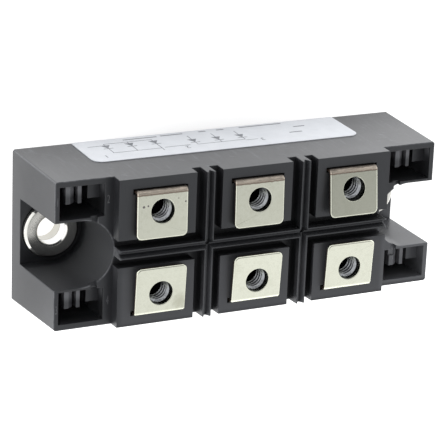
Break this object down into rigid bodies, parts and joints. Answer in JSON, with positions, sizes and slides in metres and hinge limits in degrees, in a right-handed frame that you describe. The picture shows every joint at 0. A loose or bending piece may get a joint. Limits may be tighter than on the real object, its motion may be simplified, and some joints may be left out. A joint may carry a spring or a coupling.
{
  "type": "bridge rectifier module",
  "caption": "Flat rectifier power module: ribbed plastic case with screw terminals on top, a screw notch at each end and a metal base plate that passes heat to a cooler.",
  "frame": {"origin": "centre of the base plate's underside, on the plane that meets the cooler", "axes": "+X along the case from one screw notch to the other, +Y across the case away from the label, +Z from the base plate up to the terminals"},
  "size_m": [0.094, 0.0351, 0.0286],
  "materials": {
    "case_plastic": "charcoal moulded thermoset plastic, fine matt grain, faint scuffs",
    "nickel_plate": "nickel-plated copper plate, fine ground face",
    "bush_steel": "turned and plated steel",
    "terminal_nickel": "satin nickel on copper strip, copper tone at the bend",
    "nut_steel": "zinc-plated steel, cut thread",
    "ceramic": "white alumina",
    "copper": "bare copper",
    "silicon": "metallised silicon",
    "gel": "clear soft silicone",
    "potting": "black casting resin",
    "label_film": "satin white polyester label with pale grey line print"
  },
  "bodies": {
    "root": {"housing": "case_plastic", "base_plate": "nickel_plate", "mounting_bush_1": "bush_steel", "mounting_bush_2": "bush_steel", "terminal_1": "terminal_nickel", "terminal_2": "terminal_nickel", "terminal_3": "terminal_nickel", "terminal_4": "terminal_nickel", "terminal_5": "terminal_nickel", "terminal_6": "terminal_nickel", "terminal_nuts": "nut_steel", "substrate": "ceramic", "pad_plus": "copper", "pad_minus": "copper", "pad_ac_1": "copper", "pad_ac_2": "copper", "pad_ac_3": "copper", "chip_high_1": "silicon", "chip_high_2": "silicon", "chip_high_3": "silicon", "chip_low_1": "silicon", "chip_low_2": "silicon", "chip_low_3": "silicon", "link_1": "copper", "link_2": "copper", "link_3": "copper", "minus_bar": "copper", "gel": "gel", "potting": "potting", "label": "label_film"}
  },
  "joints": []
}
